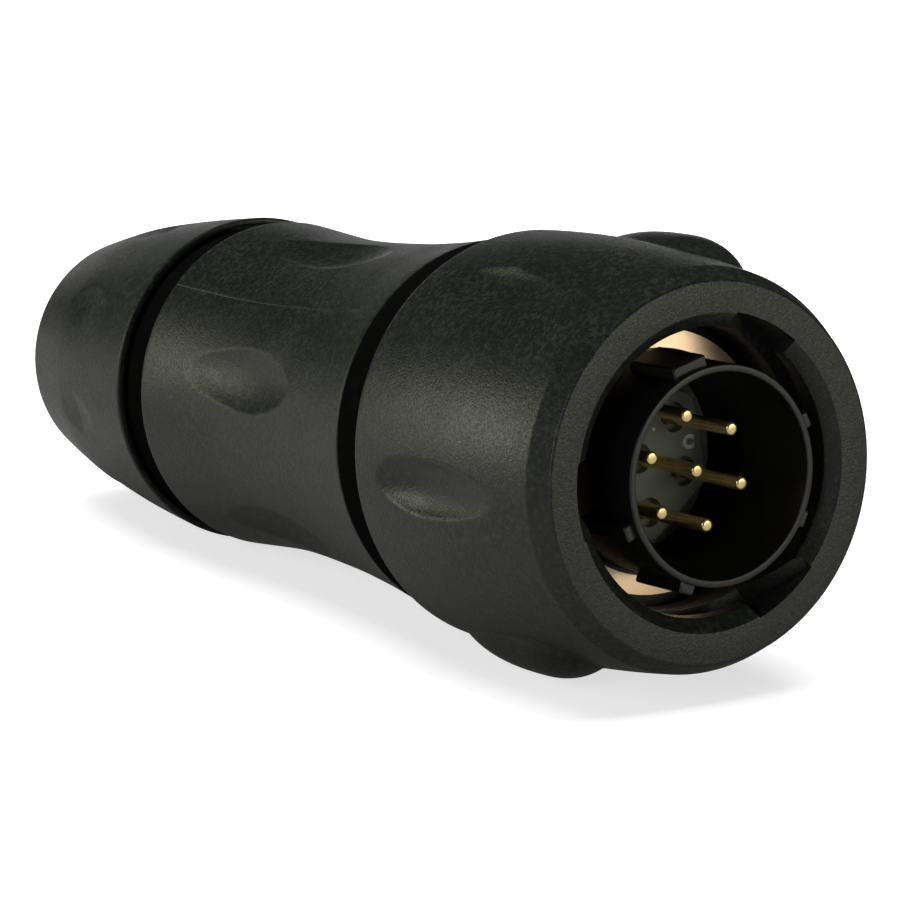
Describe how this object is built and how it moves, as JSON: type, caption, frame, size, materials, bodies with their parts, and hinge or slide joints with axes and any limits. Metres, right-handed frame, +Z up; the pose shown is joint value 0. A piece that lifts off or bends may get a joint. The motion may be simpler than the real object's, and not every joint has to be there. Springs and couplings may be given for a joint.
{
  "type": "circular connector plug",
  "caption": "Circular cable plug with a domed bayonet coupling ring, keyed shroud round gold contact pins, waisted handle body and a rounded gland nut for the cable.",
  "frame": {"origin": "centre of the footprint, on the surface the plug lies on", "axes": "+X towards the mating face, +Z up; the plug's own axis rises 3.07 degrees towards +X"},
  "size_m": [0.1418, 0.0492, 0.0499],
  "materials": {
    "housing": "fine spark-eroded texture",
    "shell": "smooth moulded",
    "insulator": "smooth moulded",
    "contact": "gold plated",
    "rubber": "moulded",
    "spring": "beryllium copper",
    "steel": "plain"
  },
  "bodies": {
    "plug": {"plug_shell": "shell", "contact_insert": "insulator", "contact_pin_1": "contact", "contact_pin_2": "contact", "contact_pin_3": "contact", "contact_pin_4": "contact", "contact_pin_5": "contact", "contact_pin_6": "contact", "contact_pin_7": "contact", "insert_retainer": "shell", "wire_grommet": "rubber", "shell_seal": "rubber", "backshell": "housing", "ring_seal": "rubber", "neck_seal": "rubber", "gland_bush": "rubber", "wave_spring": "spring", "thrust_washer": "spring"},
    "ring": {"coupling_ring": "housing", "retaining_clip": "steel"},
    "washer": {"slip_washer": "steel"},
    "nut": {"gland_nut": "housing"}
  },
  "joints": [
    {"name": "ring_turn", "type": "hinge", "parent": "plug", "child": "ring", "pos_m": [0.06819, 0, 0.02647], "axis": [0.9983, 0, 0.0583], "continuous": true},
    {"name": "nut_travel", "type": "slide", "parent": "plug", "child": "washer", "axis": [0.9983, 0, 0.0583], "range_m": [0, 0.003]},
    {"name": "nut_turn", "type": "hinge", "parent": "washer", "child": "nut", "pos_m": [-0.03124, 0, 0.02066], "axis": [0.9983, 0, 0.0583], "range_deg": [0, 720]}
  ],
  "couplings": [
    {"joint": "nut_travel", "follows": "nut_turn", "m_per_rad": 0.00023873}
  ]
}
